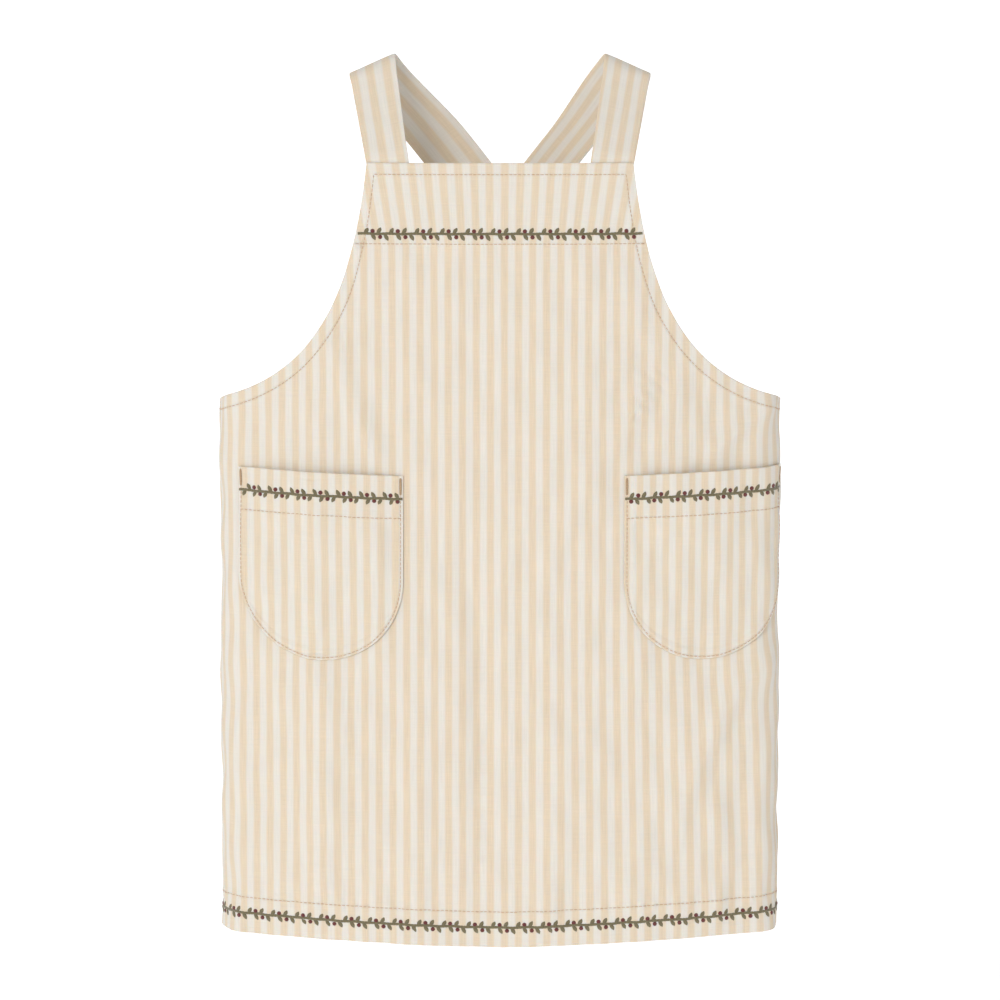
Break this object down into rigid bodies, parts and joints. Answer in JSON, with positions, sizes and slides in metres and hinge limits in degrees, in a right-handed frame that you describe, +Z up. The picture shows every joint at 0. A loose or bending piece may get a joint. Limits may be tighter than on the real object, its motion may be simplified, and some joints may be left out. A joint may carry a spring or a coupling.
{
  "type": "child's cross-back apron",
  "caption": "Child's cross-back pinafore apron in striped cotton, with a bib, patch pockets, an open back, and straps that cross behind.",
  "frame": {"origin": "midway between the crests of the two shoulder straps, on their underside, where shoulders, a hanger or a peg carry the apron", "axes": "+Z up as it hangs, front towards -Y, +X to the right as seen from the front; left and right in the names are as seen from the front"},
  "size_m": [0.3834, 0.0955, 0.6048],
  "materials": {
    "striped_cotton": "plain-woven cotton in tan and ivory stripes along the length, matt",
    "vine_thread": "olive green satin-stitch thread with dark red berries",
    "tack_thread": "brown sewing thread"
  },
  "bodies": {
    "front": {"front_panel": "striped_cotton", "bib_facing": "striped_cotton", "front_hem_fold": "striped_cotton", "left_armhole_hem": "striped_cotton", "left_pocket": "striped_cotton", "left_pocket_hem": "striped_cotton", "left_pocket_outer_tack": "tack_thread", "left_pocket_inner_tack": "tack_thread", "left_strap": "striped_cotton", "left_pocket_vine": "vine_thread", "right_armhole_hem": "striped_cotton", "right_pocket": "striped_cotton", "right_pocket_hem": "striped_cotton", "right_pocket_outer_tack": "tack_thread", "right_pocket_inner_tack": "tack_thread", "right_strap": "striped_cotton", "right_pocket_vine": "vine_thread", "bib_vine": "vine_thread", "front_hem_vine": "vine_thread"},
    "left_wing": {"left_back_wing": "striped_cotton", "left_wing_top_hem": "striped_cotton", "left_wing_edge_hem": "striped_cotton", "left_wing_hem_fold": "striped_cotton", "left_wing_hem_vine": "vine_thread", "right_strap_tail": "striped_cotton"},
    "right_wing": {"right_back_wing": "striped_cotton", "right_wing_top_hem": "striped_cotton", "right_wing_edge_hem": "striped_cotton", "right_wing_hem_fold": "striped_cotton", "right_wing_hem_vine": "vine_thread", "left_strap_tail": "striped_cotton"}
  },
  "joints": [
    {"name": "left_wing_swing", "type": "hinge", "parent": "front", "child": "left_wing", "pos_m": [-0.1895, 0, -0.4169], "axis": [0, 0, 1], "range_deg": [-35, 20]},
    {"name": "right_wing_swing", "type": "hinge", "parent": "front", "child": "right_wing", "pos_m": [0.1895, 0, -0.4169], "axis": [0, 0, -1], "range_deg": [-35, 20]}
  ]
}
